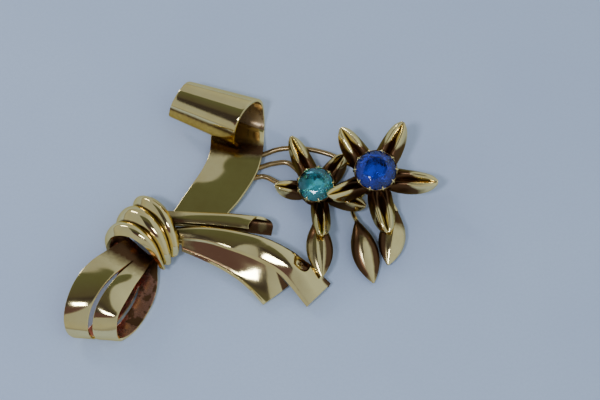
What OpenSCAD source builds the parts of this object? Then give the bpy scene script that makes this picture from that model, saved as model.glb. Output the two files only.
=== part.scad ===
// Ribbon bow spray brooch with two stone-set flowers and three buds.
// It lies face up: +Z is the face, +X runs from the ribbon loop to the
// flowers, and the origin is the middle of its footprint on the surface.

/* [Metal] */
// Thickness of the ribbon sheet
sheet_t = 0.6; // [0.5:0.05:0.65]
// Thickness of the stamped petals
petal_t = 0.55; // [0.45:0.05:0.6]
// Diameter of the three long stems
stem_d = 0.95; // [0.7:0.05:1]
// Diameter of the short wires that the buds hang on
bud_wire_d = 0.8; // [0.6:0.05:0.9]

/* [Scroll] */
// Radius of the roll at its wide right end, to the middle of the sheet
roll_r = 4.45; // [4.2:0.05:4.5]
// Loss of roll radius for each millimetre towards the left end
roll_taper = 0.075; // [0.06:0.005:0.08]
// Angle where the rolled end of the ribbon stops, past the near side
roll_stop = 208; // [200:1:210]

/* [Ribbon loop] */
// Width of the pointed slit along the loop
slit_w = 1; // [0.6:0.1:1.4]

/* [Knot] */
// Height of each of the three wraps above the knot's own arch
wrap_rise = 1; // [0.6:0.1:1.2]

/* [Flowers] */
// Diameter of the blue stone
blue_d = 7.4; // [7:0.1:7.6]
// Diameter of the teal stone
teal_d = 6.4; // [6:0.1:6.6]
// Width of a petal
petal_w = 4.5; // [4:0.1:4.7]
// Height of the two swellings of a petal
petal_puff = 1; // [0.7:0.1:1.1]

/* [Pin] */
// Diameter of the pin stem
pin_d = 0.9; // [0.7:0.1:1]
// Length of the pin stem from joint to catch
pin_l = 22; // [20:0.5:23]

/* [Hidden] */

gold = "#c9b97a";
dark_gold = "#8f8048";
rose_wire = "#b08457";
blue_glass = "#1c49b8";
teal_glass = "#3aa7ad";

// Middle of the footprint, measured from the point that the tables start at
middle = [0.77, -0.51, 0];
// Smallest clearance left between two pieces
clear = 0.08;

// Curves and nets

function unit(v) = v / max(norm(v), 0.000001);

// A point on the smooth curve through the points p, at s from 0 to len(p) - 1
function curve_point(p, s) =
    let (last = len(p) - 1)
    let (i = min(floor(s), last - 1))
    let (t = s - i)
    let (b = p[i])
    let (c = p[i + 1])
    let (a = i > 0 ? p[i - 1] : 2 * b - c)
    let (d = i < last - 1 ? p[i + 2] : 2 * c - b)
    0.5 * (2 * b + (c - a) * t + (2 * a - 5 * b + 4 * c - d) * t * t
        + (3 * b - a - 3 * c + d) * t * t * t);

function curve(p, steps) = [for (k = [0:steps]) curve_point(p, k / steps * (len(p) - 1))];

// A net of points: each fold line becomes a curve, and curves join the lines
function net(lines, along, across) =
    let (dense = [for (line = lines) curve(line, along)])
    [for (i = [0:along]) curve([for (line = dense) line[i]], across)];

function net_normal(g, i, j) =
    let (before = g[max(i - 1, 0)][j])
    let (after = g[min(i + 1, len(g) - 1)][j])
    let (left = g[i][max(j - 1, 0)])
    let (right = g[i][min(j + 1, len(g[0]) - 1)])
    unit(cross(after - before, right - left));

// The net moved along its own normals by height(u, v), u and v from 0 to 1
function raised(g, height) =
    let (rows = len(g) - 1)
    let (cols = len(g[0]) - 1)
    [for (i = [0:rows]) [for (j = [0:cols])
        g[i][j] + net_normal(g, i, j) * height(i / rows, j / cols)]];

// A closed wall of one thickness on a net; open(i, j) names cells to leave out
module sheet(g, thick, open = function(i, j) false) {
    rows = len(g);
    cols = len(g[0]);
    points = [for (side = [0.5, -0.5]) for (i = [0:rows - 1]) for (j = [0:cols - 1])
        g[i][j] + net_normal(g, i, j) * thick * side];
    function show(i, j) = i * cols + j;
    function back(i, j) = rows * cols + i * cols + j;
    function full(i, j) =
        i >= 0 && j >= 0 && i < rows - 1 && j < cols - 1 && !open(i, j);
    function quad(a, b, c, d) = [[a, b, c], [a, c, d]];
    function rim(i, j, k, l) = quad(show(i, j), show(k, l), back(k, l), back(i, j));
    function cell(i, j) = concat(
        quad(show(i, j), show(i, j + 1), show(i + 1, j + 1), show(i + 1, j)),
        quad(back(i, j), back(i + 1, j), back(i + 1, j + 1), back(i, j + 1)),
        full(i, j - 1) ? [] : rim(i, j, i + 1, j),
        full(i, j + 1) ? [] : rim(i + 1, j + 1, i, j + 1),
        full(i - 1, j) ? [] : rim(i, j + 1, i, j),
        full(i + 1, j) ? [] : rim(i + 1, j, i + 1, j + 1)
    );
    faces = [for (i = [0:rows - 2]) for (j = [0:cols - 2])
        if (full(i, j)) each cell(i, j)];
    polyhedron(points, faces);
}

// A closed solid through rings of points that all have the same count
module loft(rings) {
    count = len(rings[0]);
    last = len(rings) - 1;
    points = [for (ring = rings) each ring];
    function at(k, i) = k * count + i % count;
    walls = [for (k = [0:last - 1]) for (i = [0:count - 1]) each [
        [at(k, i), at(k + 1, i), at(k, i + 1)],
        [at(k, i + 1), at(k + 1, i), at(k + 1, i + 1)]
    ]];
    start = [[for (i = [0:count - 1]) at(0, i)]];
    end = [[for (i = [count - 1:-1:0]) at(last, i)]];
    polyhedron(points, concat(walls, start, end));
}

// A round wire along a curve that stays near the horizontal
module wire(route, d, along, sides = 8) {
    line = curve(route, along);
    rings = [for (k = [0:along])
        let (heading = unit(line[min(k + 1, along)] - line[max(k - 1, 0)]))
        let (side = unit(cross(heading, [0, 0, 1])))
        let (up = cross(side, heading))
        [for (i = [0:sides - 1])
            let (a = -360 * i / sides)
            line[k] + (side * cos(a) + up * sin(a)) * d / 2]];
    loft(rings);
}

// Scroll ribbon

// Stations up the flat part: left edge x, y, z and right edge x, y, z
scroll_flat = [
    [[-15.2, -3.6, 2], [-5.4, -4.2, 2]],
    [[-14.5, -1.4, 2], [-4.4, -1.7, 2.1]],
    [[-11.5, 3.7, 2], [-1.9, 1.6, 2.1]],
    [[-9.2, 7.8, 1.8], [0.9, 6.6, 1.9]],
    [[-7.9, 12.2, 1.5], [2, 11, 1.8]]
];
// Stations round the roll: angle, place of the left edge and of the right
// edge along the roll's axis, and share of the roll's radius
scroll_roll = [
    [-80, -8.8, 2.5, 1],
    [-45, -11.4, 1.5, 1],
    [0, -13, 0.6, 1],
    [45, -13.8, -0.1, 1],
    [90, -14.2, -0.9, 1],
    [135, -14.7, -1.3, 1],
    [180, -15, -1.1, 1.05],
    [roll_stop, -15.1, -0.6, 1.1]
];
// The roll's axis: a point at its right end and its heading
roll_origin = [-0.4, 15.9, 0];
roll_heading = [cos(22.5), -sin(22.5), 0];
roll_away = [sin(22.5), cos(22.5), 0];

function roll_point(angle, place, share) =
    let (axis_h = roll_r + place * roll_taper)
    roll_origin + roll_heading * place
        + roll_away * axis_h * share * cos(angle)
        + [0, 0, axis_h * (1 + share * sin(angle)) + sheet_t / 2];

function scroll_edge(side) = concat(
    [for (station = scroll_flat) station[side]],
    [for (station = scroll_roll) roll_point(station[0], station[1 + side], station[3])]
);

module scroll_ribbon() {
    color(gold) sheet(net([scroll_edge(1), scroll_edge(0)], 44, 4), sheet_t);
}

// Lower tails: a row for each fold, from the knot to the cut end

tail_upper_folds = [
    [[-15, -4, 4.2], [-8.3, -4.5, 4.4], [-3.2, -5.1, 4.6], [-0.3, -5.5, 4.6]],
    [[-15.2, -3, 4.8], [-8.2, -3.6, 5.1], [-3.2, -4.1, 5.3], [-0.2, -4.6, 5.2]],
    [[-15.4, -2, 4.4], [-8, -2.5, 4.6], [-3, -2.8, 4.7], [1.2, -3.2, 4.4]],
    [[-15.2, -2.1, 3.7], [-8, -2.7, 3.5], [-2.4, -3.1, 3.5], [3.9, -3.7, 3.4]],
    [[-15, -3.8, 3.3], [-7.8, -4.4, 3.1], [-2.2, -5.2, 3.1], [3.8, -6, 2.9]]
];

tail_middle_folds = [
    [[-13.9, -6.6, 3], [-8.2, -7.6, 3.7], [-3.6, -9.2, 3.9],
        [1.2, -10.9, 3.8], [5.4, -13.4, 3.1], [10.3, -18.9, 1.1]],
    [[-14.2, -5.6, 3.7], [-8.2, -6.4, 4.6], [-3, -7.6, 4.8],
        [2.6, -9, 4.8], [8.6, -12.6, 3.3], [12.4, -16.9, 1.6]],
    [[-14.4, -4.8, 3.5], [-8.2, -5.1, 4.5], [-2.4, -6, 4.7],
        [3.6, -7.6, 4.7], [9.6, -10.9, 3.2], [14.3, -14.9, 1.3]],
    [[-14.2, -4.9, 2.8], [-8.2, -5.4, 3.7], [-2.4, -6.3, 3.8],
        [3.8, -7.9, 3.6], [9.6, -11.1, 2.3], [14.2, -15.1, 0.7]]
];

tail_lower_folds = [
    [[-12.5, -8.5, 2.3], [-8.6, -10.2, 2.3], [-4.4, -12.4, 2.1], [-0.8, -15, 1.9], [2.4, -18.5, 1.4]],
    [[-12.4, -7.6, 1.9], [-8.2, -9.1, 1.8], [-3.7, -11.1, 1.5], [0.8, -13.7, 1.3], [4.6, -17.2, 1.2]],
    [[-12.5, -6, 2.6], [-8, -6.8, 2.7], [-3, -8.2, 2.8], [2.6, -10.6, 2.6], [6.9, -15, 1.5]]
];

// Thickness of the tails as a share of the ribbon sheet's
tail_share = 0.85;
// Notch in the middle tail: its first and last cell along the tail, and its
// first and last cell across
notch_along = [15, 16];
notch_across = [3, 6];

module tail_upper() {
    color(gold) sheet(net(tail_upper_folds, 16, 12), sheet_t * tail_share);
}

module tail_middle() {
    in_notch = function(i, j) i >= notch_along[0] && i <= notch_along[1]
        && j >= notch_across[0] && j <= notch_across[1];
    color(gold) sheet(net(tail_middle_folds, 20, 9), sheet_t * tail_share, in_notch);
}

module tail_lower() {
    color(gold) sheet(net(tail_lower_folds, 16, 8), sheet_t * tail_share);
}

// Ribbon loop: left edge x, y, z and right edge x, y, z, from the knot over
// the front, round the bend and back below
loop_stations = [
    [[-22, -7, 4.8], [-17.7, -10.8, 3.7]],
    [[-25.8, -9.9, 5.4], [-18.9, -14, 5.2]],
    [[-28.6, -12.3, 5.9], [-20.5, -16.7, 6]],
    [[-30.9, -15.7, 6.2], [-21.8, -19.2, 6.2]],
    [[-32.3, -19.4, 5.7], [-22.9, -21.6, 5.4]],
    [[-32.8, -22.3, 4.1], [-23.4, -23.7, 3.8]],
    [[-32.3, -24.1, 2.1], [-23.3, -24.9, 2]],
    [[-30.7, -24.3, 0.7], [-22.6, -24.9, 0.7]],
    [[-28.4, -22.2, 0.3], [-20.2, -22.8, 0.3]],
    [[-26.4, -18.6, 0.5], [-17.8, -18.6, 0.5]],
    [[-25, -15, 0.8], [-16.9, -15.2, 0.8]],
    [[-23.6, -11.6, 1.2], [-16.9, -12.1, 1.1]]
];
// Place of the slit across the loop, station by station
slit_place = [0.66, 0.61, 0.58, 0.55, 0.52, 0.5, 0.48, 0.47, 0.5, 0.57, 0.6, 0.6];
// Width that the slit's two edges keep where it is closed
slit_closed = 0.12;
// First and last cell along the loop that the slit cuts
slit_from = 3;
slit_to = 40;

module ribbon_loop() {
    along = 44;
    half = 3;
    edges = net([[for (s = loop_stations) s[0]], [for (s = loop_stations) s[1]]], along, 1);
    middles = curve(slit_place, along);
    g = [for (i = [0:along])
        let (a = edges[i][0])
        let (b = edges[i][1])
        let (run = (i - slit_from) / (slit_to - slit_from))
        let (open_w = run > 0 && run < 1 ? slit_w * pow(sin(180 * run), 0.4) : 0)
        let (gap = max(open_w, slit_closed) / norm(b - a) / 2)
        concat(
            [for (k = [0:half]) a + (b - a) * (middles[i] - gap) * k / half],
            [for (k = [0:half]) b + (a - b) * (1 - middles[i] - gap) * (half - k) / half]
        )];
    in_slit = function(i, j) j == half && i >= slit_from && i < slit_to;
    color(gold) sheet(g, sheet_t, in_slit);
}

// Knot: fold lines over the arch, from the upper left ends to the lower
// right ends: the lip above the loop, the two seams between the three wraps
// and the outer edge
knot_folds = [
    [[-26, -8.4, 1.3], [-25.6, -7.7, 3.6], [-24.2, -7.3, 5.7], [-21.4, -8, 6.9],
        [-18.6, -9.8, 6.3], [-17.2, -11.2, 4.4], [-16.6, -11.8, 1.9]],
    [[-24.5, -5, 1.3], [-24.2, -4.5, 3.4], [-22.7, -4.3, 5.5], [-19.8, -5.7, 6.7],
        [-17.3, -8.2, 6.1], [-16.2, -10.3, 4.3], [-16, -11.1, 2]],
    [[-21.6, -0.9, 1.4], [-21.4, -0.7, 3.3], [-20, -1.3, 5.2], [-17.6, -3.3, 6.2],
        [-15.6, -6.2, 5.7], [-14.8, -8.5, 4.1], [-14.8, -9.7, 2]],
    [[-19.6, 0.8, 1.6], [-19.3, 0.9, 3.2], [-17.8, 0.4, 5], [-15.6, -1.6, 5.7],
        [-14, -4.3, 5.3], [-13.2, -6.6, 4.1], [-13.4, -7.8, 2.6]]
];

// Height over the folds: three round wraps side by side
wrap_relief = function(u, v)
    let (f = v >= 1 ? 1 : v * 3 - floor(v * 3))
    wrap_rise * pow(max(sin(180 * f), 0), 0.6);

module knot() {
    base = net(knot_folds, 20, 18);
    color(gold) sheet(raised(base, wrap_relief), sheet_t);
}

// Stems: routes from behind the scroll to behind the flowers
stem_upper_route = [
    [-3, 9.4, 0.7], [2, 11.1, 0.7], [4.5, 11.9, 1.1], [7, 12.1, 1.5],
    [10.1, 11.9, 1.6], [14.4, 10.8, 1.6], [18.4, 8.6, 2], [21.4, 6.3, 3.7]
];
stem_middle_route = [[-4, 6.4, 0.9], [1.5, 8.4, 0.9], [4, 9.1, 1.1], [7, 9, 1.3], [10.2, 5.6, 1.5]];
stem_lower_route = [[-4.6, 4.8, 0.9], [0.9, 6.4, 0.9], [2.8, 6.3, 1.1], [5.2, 5, 1.2], [9.6, 3.2, 1.5]];

module stem_upper() {
    color(rose_wire) wire(stem_upper_route, stem_d, 21);
}

module stem_middle() {
    color(rose_wire) wire(stem_middle_route, stem_d, 12);
}

module stem_lower() {
    color(rose_wire) wire(stem_lower_route, stem_d, 12);
}

// Flowers

// A petal along +X. Columns: place from root to tip, half width, height of
// the middle line and height of the two swellings, each as a share of its
// full size
petal_stations = [
    [0, 0.42, 0, 0.06],
    [0.15, 0.66, 0, 0.5],
    [0.35, 0.95, 0.05, 0.9],
    [0.55, 1, 0.2, 1],
    [0.75, 0.76, 0.5, 0.8],
    [0.9, 0.42, 0.85, 0.4],
    [1, 0.06, 1.1, 0.03]
];
// How far each petal's root lies from the flower's middle
root_r = 2;
// The block that joins each root to the base: length, share of the petal's
// width, and height
root_block = [0.9, 0.42, 0.5];
// Depth of the base below the flower's middle
base_depth = 0.5;
// The web between two petals: reach as a share of the base's radius, end
// radius and height
web = [1.5, 0.5, 0.6];

function petal_net(length, width, rise) =
    [for (s = curve(petal_stations, 10)) [for (j = [-4:4])
        let (v = j / 4)
        let (lobe = sin(180 * abs(v)) - 0.9 * v * v)
        [root_r + (length - root_r) * s[0],
            s[1] * width * petal_w / 2 * v,
            s[2] * rise + s[3] * petal_puff * lobe]]];

// One whorl of five petals on a round base. Petal columns: heading, length,
// share of the full width, rise of the tip and tilt down at the root
module whorl(petals, base_r, boss_h) {
    for (p = petals) {
        rotate([0, p[4], p[0]]) sheet(petal_net(p[1], p[2], p[3]), petal_t);
        hull() {
            translate([0, 0, -base_depth]) cylinder(h = base_depth + boss_h, r = base_r, $fn = 16);
            rotate([0, p[4], p[0]]) translate([root_r, 0, -root_block[2] / 2])
                cube([root_block[0], petal_w * root_block[1], root_block[2]], center = true);
        }
        rotate([0, 0, p[0] + 180 / len(petals)]) translate([0, 0, -base_depth]) hull() {
            cylinder(h = web[2], r = base_r, $fn = 16);
            translate([base_r * web[0], 0, 0]) cylinder(h = web[2], r = web[1], $fn = 8);
        }
    }
}

// A round cut stone with its table up and its girdle at z = 0. Columns:
// height and radius of a ring of corners and its turn by half a facet
stone_rings = [
    [-0.3, 0.03, 0], [-0.16, 0.29, 1], [-0.02, 0.5, 0],
    [0.02, 0.5, 0], [0.13, 0.42, 1], [0.2, 0.29, 0]
];
stone_sides = 10;

module stone(d) {
    loft([for (ring = stone_rings) [for (i = [0:stone_sides - 1])
        let (a = (i + ring[2] / 2) * 360 / stone_sides)
        [ring[1] * cos(a), ring[1] * sin(a), ring[0]] * d]]);
}

// Cup: wall, depth and foot radius as shares of the stone, rim above and
// seat below the girdle
cup_wall = 0.3;
cup_depth = 0.33;
cup_foot = 0.2;
cup_rim = 0.15;
cup_seat = 0.2;
// Claws: diameter at the root and at the tip, length, start below the girdle
// and lean outwards
claw_d = 0.55;
claw_tip_d = 0.385;
claw_l = 1.35;
claw_drop = 0.5;
claw_lean = -12;

// A cup round the stone of diameter d, with claws round its rim
module setting(d, claws) {
    seat_r = d / 2 + clear;
    foot_r = d * cup_foot;
    depth = d * cup_depth;
    rotate_extrude($fn = 64) polygon([
        [foot_r, -depth], [foot_r + cup_wall, -depth],
        [seat_r + cup_wall, -cup_seat], [seat_r + cup_wall, cup_rim],
        [seat_r, cup_rim], [seat_r, -cup_seat]
    ]);
    for (k = [0:claws - 1])
        rotate([0, 0, k * 360 / claws])
            translate([seat_r + claw_d / 2 + clear, 0, -claw_drop])
            rotate([0, claw_lean, 0]) cylinder(h = claw_l, d1 = claw_d, d2 = claw_tip_d, $fn = 24);
}

// Blue flower: middle, lean, and the height of its stone's girdle
blue_middle = [22.9, 5, 4.8];
blue_lean = [4, -2, 0];
blue_girdle = 3.3;
blue_petals = [
    [126, 10.9, 1, 1.4, -6],
    [61, 11.1, 1, 1.4, -8],
    [-8, 11.5, 1, 0.8, 0],
    [-79, 11, 1, 0.6, 4],
    [-150, 11, 0.84, 1.7, -15]
];

module on_blue() {
    translate(blue_middle) rotate(blue_lean) children();
}

module blue_flower() {
    color(dark_gold) on_blue() whorl(blue_petals, 1.8, blue_girdle - cup_depth * blue_d - clear);
}

module blue_setting() {
    color(gold) on_blue() translate([0, 0, blue_girdle]) setting(blue_d, 10);
}

module blue_stone() {
    color(blue_glass) on_blue() translate([0, 0, blue_girdle]) stone(blue_d);
}

// Teal flower, which leans a little to the left
teal_middle = [12.2, 3.3, 2.6];
teal_lean = [3, -7, 0];
teal_girdle = 2.7;
teal_petals = [
    [115, 11, 0.84, 1.4, -6],
    [54, 8.6, 0.9, 0, 5],
    [176, 7.8, 0.8, 1.2, -4],
    [-83, 11.2, 0.76, 2, -12],
    [-22, 9.6, 0.8, -0.4, -2]
];

module on_teal() {
    translate(teal_middle) rotate(teal_lean) children();
}

module teal_flower() {
    color(dark_gold) on_teal() whorl(teal_petals, 1.6, teal_girdle - cup_depth * teal_d - clear);
}

module teal_setting() {
    color(gold) on_teal() translate([0, 0, teal_girdle]) setting(teal_d, 9);
}

module teal_stone() {
    color(teal_glass) on_teal() translate([0, 0, teal_girdle]) stone(teal_d);
}

// Buds

// Columns: place from root to tip and half width, as shares of the full size
bud_stations = [[0, 0.16], [0.12, 0.48], [0.3, 0.85], [0.5, 1], [0.7, 0.86], [0.88, 0.46], [1, 0.05]];
bud_w = 4.9;
bud_h = 2.4;
// Sides of a bud's rings, rings of the wire for each point of its route, and
// rings of the bud
bud_sides = 12;
wire_steps = 5;
swell_steps = 12;
// Share of the bud's height left at the crease along its top
bud_crease = 0.8;

// A bud with its wire as one solid. The wire follows route to the bud's
// root, and the bud runs on from there to its tip
module bud(route, tip) {
    root = route[len(route) - 1];
    swell = curve(bud_stations, swell_steps);
    stem_line = curve(concat(route, [root + (tip - root) * 0.2]), wire_steps * len(route));
    stem_part = [for (k = [0:len(stem_line) - 1]) if (k < wire_steps * (len(route) - 1)) stem_line[k]];
    spine = concat(stem_part, [for (s = swell) root + (tip - root) * s[0]]);
    half_w = concat([for (p = stem_part) bud_wire_d / 2], [for (s = swell) max(s[1], 0.04) * bud_w / 2]);
    half_h = concat([for (p = stem_part) bud_wire_d / 2], [for (s = swell) max(s[1], 0.04) * bud_h / 2]);
    last = len(spine) - 1;
    loft([for (k = [0:last])
        let (heading = unit(spine[min(k + 1, last)] - spine[max(k - 1, 0)]))
        let (side = unit(cross(heading, [0, 0, 1])))
        let (up = cross(side, heading))
        [for (i = [0:bud_sides - 1])
            let (a = -360 * i / bud_sides)
            let (crease = i == bud_sides * 3 / 4 && k > len(stem_part) ? bud_crease : 1)
            spine[k] + side * cos(a) * half_w[k] + up * sin(a) * half_h[k] * crease]]);
}

// Routes of the wires from behind the flowers to the buds
bud_left_route = [[12.4, 1.9, 1.4], [12.2, -0.4, 1.7], [12.1, -2.8, 2.5]];
bud_middle_route = [
    [21.9, 3.8, 3.7], [20.7, 2.6, 2.4], [19.3, 0.9, 1.2], [18.7, -0.6, 1.1], [19.4, -3, 1.3]
];
bud_right_route = [[23.8, 3.8, 3.68], [25.2, 1.6, 2.5], [26.7, -0.8, 1.7]];

module bud_left() {
    color(gold) bud(bud_left_route, [13, -14, 3.4]);
}

module bud_middle() {
    color(gold) bud(bud_middle_route, [22.4, -14.4, 1.3]);
}

module bud_right() {
    color(gold) bud(bud_right_route, [25, -11.2, 1.4]);
}

// Pin back: joint block under the knot, pin stem and catch under the tail
pin_start = [-14.3, -6.2, 0.8];
pin_turn = -12;
// Sizes of the joint and of the catch, their depth below the pin's axis and
// how far the pin reaches into the catch
joint_size = [2.4, 2.4, 2.3];
catch_size = [2, 2.4, 2.4];
block_drop = 0.7;
catch_reach = 1;

module pin_back() {
    color(dark_gold) translate(pin_start) rotate([0, 0, pin_turn]) {
        rotate([0, 90, 0]) cylinder(h = pin_l, d = pin_d, $fn = 24);
        translate([-joint_size[0] / 2, -joint_size[1] / 2, -block_drop]) cube(joint_size);
        translate([pin_l - catch_reach, -catch_size[1] / 2, -block_drop]) cube(catch_size);
    }
}

module seated() {
    translate(-middle) children();
}

seated() scroll_ribbon();
seated() tail_upper();
seated() tail_middle();
seated() tail_lower();
seated() ribbon_loop();
seated() knot();
seated() stem_upper();
seated() stem_middle();
seated() stem_lower();
seated() blue_flower();
seated() blue_setting();
seated() blue_stone();
seated() teal_flower();
seated() teal_setting();
seated() teal_stone();
seated() bud_left();
seated() bud_middle();
seated() bud_right();
seated() pin_back();
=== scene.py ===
from math import acos, atan2, cos, degrees, exp, floor, pi, radians, sin, sqrt, tau

import bmesh
import bpy
from mathutils import Matrix, Vector


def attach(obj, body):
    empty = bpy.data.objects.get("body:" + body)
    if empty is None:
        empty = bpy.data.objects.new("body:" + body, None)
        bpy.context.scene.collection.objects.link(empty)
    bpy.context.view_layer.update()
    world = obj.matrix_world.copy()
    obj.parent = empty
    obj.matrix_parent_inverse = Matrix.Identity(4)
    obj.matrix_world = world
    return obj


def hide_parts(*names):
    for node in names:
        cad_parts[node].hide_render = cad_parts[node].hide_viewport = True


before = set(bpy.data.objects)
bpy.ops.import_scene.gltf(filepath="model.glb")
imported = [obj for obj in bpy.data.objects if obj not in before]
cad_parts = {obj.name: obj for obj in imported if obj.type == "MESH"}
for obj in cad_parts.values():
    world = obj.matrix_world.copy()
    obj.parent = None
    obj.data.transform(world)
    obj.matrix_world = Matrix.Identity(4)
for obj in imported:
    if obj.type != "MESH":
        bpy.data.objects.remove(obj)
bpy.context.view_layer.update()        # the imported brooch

bl_info = {
    "name": "Bow brooch",
    "version": (1, 0, 0),
    "blender": (4, 5, 0),
    "location": "View3D > Sidebar > Brooch",
    "description": "Builds a ribbon bow brooch with two stone-set flowers and three buds",
    "category": "Object",
}

# Tables
# All are in millimetres: x to the flowers, y away, z up. They start at one
# point of the brooch, and MIDDLE is the middle of its footprint.

MM = 0.001
# Width, in metres, to which the sheets' cut edges are rounded
EDGE = 0.0001
MIDDLE = Vector((0.77, -0.51, 0.0))
UP = Vector((0, 0, 1))

# Scroll, flat part: left edge and right edge, station by station
SCROLL_FLAT = [
    ((-15.2, -3.6, 2.0), (-5.4, -4.2, 2.0)),
    ((-14.5, -1.4, 2.0), (-4.4, -1.7, 2.1)),
    ((-11.5, 3.7, 2.0), (-1.9, 1.6, 2.1)),
    ((-9.2, 7.8, 1.8), (0.9, 6.6, 1.9)),
    ((-7.9, 12.2, 1.5), (2.0, 11.0, 1.8)),
]
# Scroll, roll: angle, place of the left and right edge along the roll's
# axis, and share of the roll's radius
SCROLL_ROLL = [
    (-80, -8.8, 2.5, 1.0), (-45, -11.4, 1.5, 1.0), (0, -13.0, 0.6, 1.0), (45, -13.8, -0.1, 1.0),
    (90, -14.2, -0.9, 1.0), (135, -14.7, -1.3, 1.0), (180, -15.0, -1.1, 1.05), (208, -15.1, -0.6, 1.1),
]
ROLL_ORIGIN = Vector((-0.4, 15.9, 0.0))
ROLL_TURN = 22.5
ROLL_TAPER = 0.075
# Shares of the way along the ribbon where its upper face becomes the inside
# of the roll, and where the roll's underside starts
HOLLOW_START, UNDERSIDE_START = 0.43, 0.868

# Tails: a row of points for each fold, from the knot to the cut end
TAIL_UPPER = [
    [(-15, -4, 4.7), (-8.3, -4.5, 4.95), (-3.2, -5.1, 5.1), (-0.3, -5.5, 5.0)],
    [(-15.2, -3, 4.8), (-8.2, -3.6, 5.1), (-3.2, -4.1, 5.25), (-0.2, -4.6, 5.15)],
    [(-15.4, -2, 4.45), (-8, -2.5, 4.9), (-3, -2.8, 5.05), (1.2, -3.2, 4.8)],
    [(-15.2, -2.1, 3.7), (-8, -2.7, 3.5), (-2.4, -3.1, 3.5), (3.9, -3.7, 3.4)],
    [(-15, -3.8, 3.3), (-7.8, -4.4, 3.1), (-2.2, -5.2, 3.1), (3.8, -6, 2.9)],
]
TAIL_MIDDLE = [
    [(-13.9, -6.6, 3.3), (-8.2, -7.6, 4.3), (-3.6, -9.2, 4.55), (1.2, -10.9, 3.75), (5.4, -13.4, 3.2),
     (10.3, -18.9, 1.1)],
    [(-14.2, -5.6, 3.7), (-8.2, -6.4, 4.6), (-3, -7.6, 4.8), (2.6, -9, 4.5), (8.6, -12.6, 3.85),
     (12.4, -16.9, 1.65)],
    [(-14.4, -4.8, 3.5), (-8.2, -5.1, 4.5), (-2.4, -6, 4.7), (3.6, -7.6, 4.35), (9.6, -10.9, 3.25),
     (14.3, -14.9, 1.3)],
    [(-14.2, -4.9, 2.8), (-8.2, -5.4, 3.7), (-2.4, -6.3, 3.8), (3.8, -7.9, 3.4), (9.6, -11.1, 2.2),
     (14.2, -15.1, 0.7)],
]
TAIL_LOWER = [
    [(-12.5, -8.5, 2.2), (-8.6, -10.2, 2.1), (-4.4, -12.4, 1.9), (-0.8, -15, 1.6), (2.4, -18.5, 1.0)],
    [(-12.5, -8.1, 1.8), (-8.5, -9.8, 1.6), (-4.2, -11.9, 1.45), (-0.5, -14.6, 1.2), (3, -18, 0.85)],
    [(-12.5, -7, 2.4), (-8.2, -8.3, 2.45), (-3.6, -10, 2.55), (1.2, -12.4, 2.12), (5.2, -16.4, 0.95)],
    [(-12.5, -6, 2.95), (-8, -6.8, 3.3), (-3, -8.2, 3.6), (2.6, -10.6, 3.05), (6.9, -15, 1.15)],
]
# Thickness of the tails as a share of the ribbon sheet's
TAIL_SHEET = 0.85
# How far the middle tail's near edge is bent down
TAIL_LIP = 0.32
# Notch in the middle tail: its middle along and across the tail, and half its
# size each way
NOTCH_U, NOTCH_V = 0.8, 0.55
NOTCH_HALF_U, NOTCH_HALF_V = 0.058, 0.24
# Steps of the notch's wall: drop, share of the way in, and least painted shade
NOTCH_STEPS = [(0.3, 0.08, 0), (0.4, 0.2, 0.15), (0.3, 0.45, 0.35), (0.1, 0.6, 0.7)]

# Loop: left edge and right edge, over the front, round the bend and back
LOOP = [
    ((-22, -7, 4.8), (-17.7, -10.8, 3.7)), ((-25.8, -9.9, 5.4), (-18.9, -14, 5.2)),
    ((-28.6, -12.3, 5.9), (-20.5, -16.7, 6)), ((-30.9, -15.7, 6.2), (-21.8, -19.2, 6.2)),
    ((-32.3, -19.4, 5.7), (-22.9, -21.6, 5.4)), ((-32.8, -22.3, 4.1), (-23.4, -23.7, 3.8)),
    ((-32.3, -24.1, 2.1), (-23.3, -24.9, 2)), ((-30.7, -24.3, 0.7), (-22.6, -24.9, 0.7)),
    ((-28.4, -22.2, 0.31), (-20.2, -22.8, 0.31)), ((-26.4, -18.6, 0.5), (-17.8, -18.6, 0.5)),
    ((-25, -15, 0.8), (-16.9, -15.2, 0.8)), ((-23.6, -11.6, 1.2), (-16.9, -12.1, 1.1)),
    ((-21.9, -8.6, 1.2), (-17, -9.3, 1.0)),
]
# Place of the slit across the loop, station by station
SLIT_PLACE = [0.66, 0.61, 0.58, 0.55, 0.52, 0.5, 0.48, 0.47, 0.5, 0.57, 0.6, 0.6, 0.6]
# Width that the slit keeps where it is closed, and height of a band's dome
SLIT_CLOSED = 0.12
BAND_DOME = 0.11

# Knot: the lip above the loop, the two seams between the wraps and the
# outer edge, each over the arch from the upper left to the lower right
KNOT = [
    [(-24.4, -8.6, 0.5), (-26, -8.4, 1.3), (-25.6, -7.7, 3.6), (-24.2, -7.3, 5.7), (-21.4, -8, 6.9),
     (-18.6, -9.8, 6.3), (-17.2, -11.2, 4.4), (-16.6, -11.8, 1.9)],
    [(-22.8, -5.3, 0.5), (-24.5, -5, 1.3), (-24.2, -4.5, 3.4), (-22.7, -4.3, 5.5), (-19.8, -5.7, 6.7),
     (-17.3, -8.2, 6.1), (-16.2, -10.3, 4.3), (-16, -11.1, 2)],
    [(-20.1, -1.4, 0.6), (-21.6, -0.9, 1.4), (-21.4, -0.7, 3.3), (-20, -1.3, 5.2), (-17.6, -3.3, 6.2),
     (-15.6, -6.2, 5.7), (-14.8, -8.5, 4.1), (-14.8, -9.7, 2)],
    [(-18.2, 0.3, 0.8), (-19.6, 0.8, 1.6), (-19.3, 0.9, 3.2), (-17.8, 0.4, 5), (-15.6, -1.6, 5.7),
     (-14, -4.3, 5.3), (-13.2, -6.6, 4.1), (-13.4, -7.8, 2.6)],
]

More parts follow.
